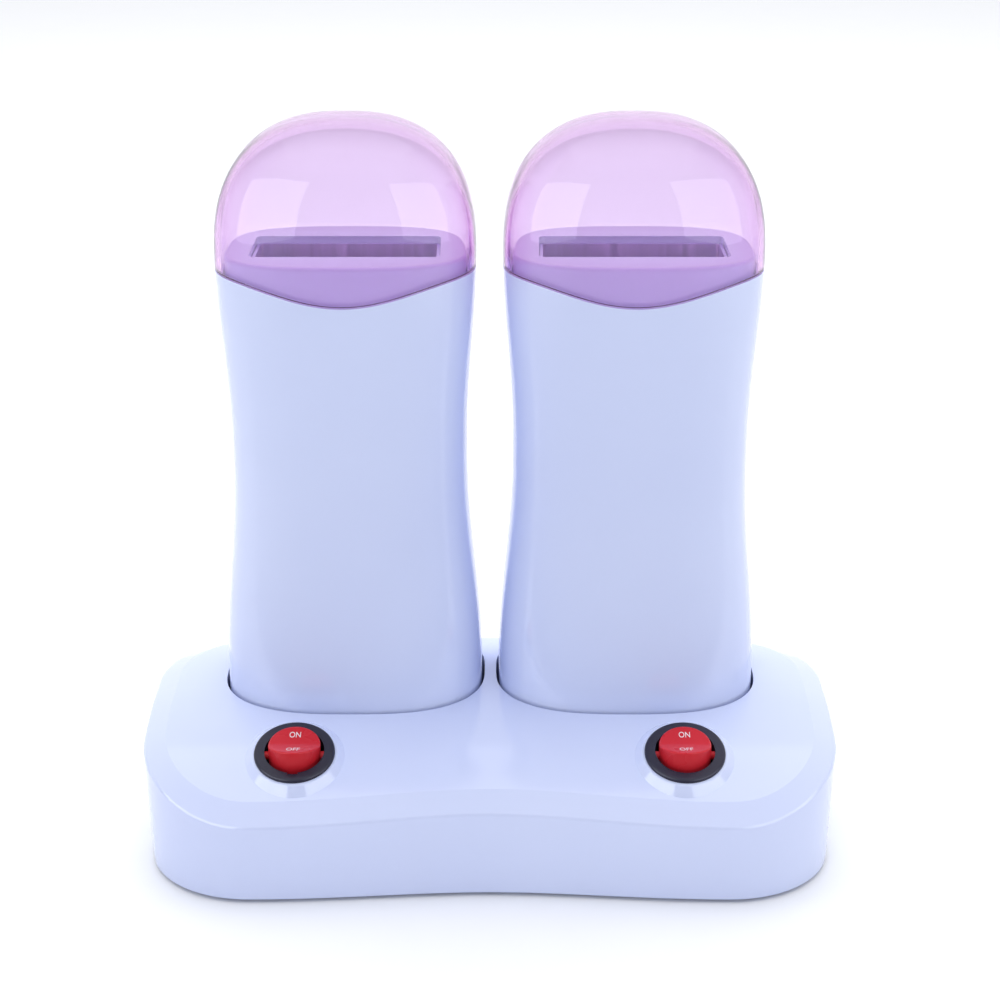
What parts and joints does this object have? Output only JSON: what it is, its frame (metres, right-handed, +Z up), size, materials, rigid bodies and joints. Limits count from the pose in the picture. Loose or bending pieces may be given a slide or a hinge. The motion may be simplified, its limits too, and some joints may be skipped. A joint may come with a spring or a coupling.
{
  "type": "double roll-on wax heater",
  "caption": "Docking base with round rocker switches and two hand-held heaters, each with a cartridge slot under a translucent lift-off lid.",
  "frame": {"origin": "on the floor, under the middle of the base", "axes": "+X to the right as the switches face the viewer, +Y to the back, where the mains inlet is, +Z up"},
  "size_m": [0.1998, 0.1002, 0.21],
  "materials": {
    "white_plastic": "gloss",
    "lid_plastic": "translucent gloss",
    "black_plastic": "semi-gloss",
    "red_plastic": "semi-gloss",
    "grey_plastic": "satin",
    "foot_rubber": "matte",
    "screw_steel": "satin",
    "pin_metal": "plated",
    "contact_brass": "satin",
    "chamber_metal": "satin",
    "white_insulation": "matte",
    "brown_insulation": "matte",
    "blue_insulation": "matte",
    "black_insulation": "matte"
  },
  "bodies": {
    "base": {"base_top_shell": "white_plastic", "base_bottom_cover": "grey_plastic", "rubber_feet": "foot_rubber", "cover_screws": "screw_steel", "power_inlet": "black_plastic", "inlet_pins": "pin_metal", "live_leads": "brown_insulation", "neutral_leads": "blue_insulation", "switched_leads": "black_insulation", "left_dock_block": "black_plastic", "left_dock_pins": "pin_metal", "left_switch_housing": "black_plastic", "left_switch_terminals": "pin_metal", "right_dock_block": "black_plastic", "right_dock_pins": "pin_metal", "right_switch_housing": "black_plastic", "right_switch_terminals": "pin_metal"},
    "left_heater": {"left_front_shell": "white_plastic", "left_rear_shell": "white_plastic", "left_collar": "white_plastic", "left_wax_chamber": "chamber_metal", "left_front_heating_plate": "chamber_metal", "left_rear_heating_plate": "chamber_metal", "left_heater_clamps": "screw_steel", "left_thermostat": "chamber_metal", "left_thermal_fuse": "grey_plastic", "left_chamber_support": "grey_plastic", "left_bottom_socket": "black_plastic", "left_socket_contacts": "contact_brass", "left_shell_screws": "screw_steel", "left_heater_leads": "white_insulation"},
    "left_lid": {"left_lid": "lid_plastic"},
    "left_rocker": {"left_rocker_cap": "red_plastic"},
    "right_heater": {"right_front_shell": "white_plastic", "right_rear_shell": "white_plastic", "right_collar": "white_plastic", "right_wax_chamber": "chamber_metal", "right_front_heating_plate": "chamber_metal", "right_rear_heating_plate": "chamber_metal", "right_heater_clamps": "screw_steel", "right_thermostat": "chamber_metal", "right_thermal_fuse": "grey_plastic", "right_chamber_support": "grey_plastic", "right_bottom_socket": "black_plastic", "right_socket_contacts": "contact_brass", "right_shell_screws": "screw_steel", "right_heater_leads": "white_insulation"},
    "right_lid": {"right_lid": "lid_plastic"},
    "right_rocker": {"right_rocker_cap": "red_plastic"}
  },
  "joints": [
    {"name": "left_heater_lift", "type": "slide", "parent": "base", "child": "left_heater", "axis": [0, 0, 1], "range_m": [0, 0.06]},
    {"name": "left_lid_lift", "type": "slide", "parent": "left_heater", "child": "left_lid", "axis": [0, 0, 1], "range_m": [0, 0.05]},
    {"name": "left_rocker_tilt", "type": "hinge", "parent": "base", "child": "left_rocker", "pos_m": [-0.0554, -0.02979, 0.0366], "axis": [1, 0, 0], "range_deg": [0, 31]},
    {"name": "right_heater_lift", "type": "slide", "parent": "base", "child": "right_heater", "axis": [0, 0, 1], "range_m": [0, 0.06]},
    {"name": "right_lid_lift", "type": "slide", "parent": "right_heater", "child": "right_lid", "axis": [0, 0, 1], "range_m": [0, 0.05]},
    {"name": "right_rocker_tilt", "type": "hinge", "parent": "base", "child": "right_rocker", "pos_m": [0.0554, -0.02979, 0.0366], "axis": [1, 0, 0], "range_deg": [0, 31]}
  ]
}
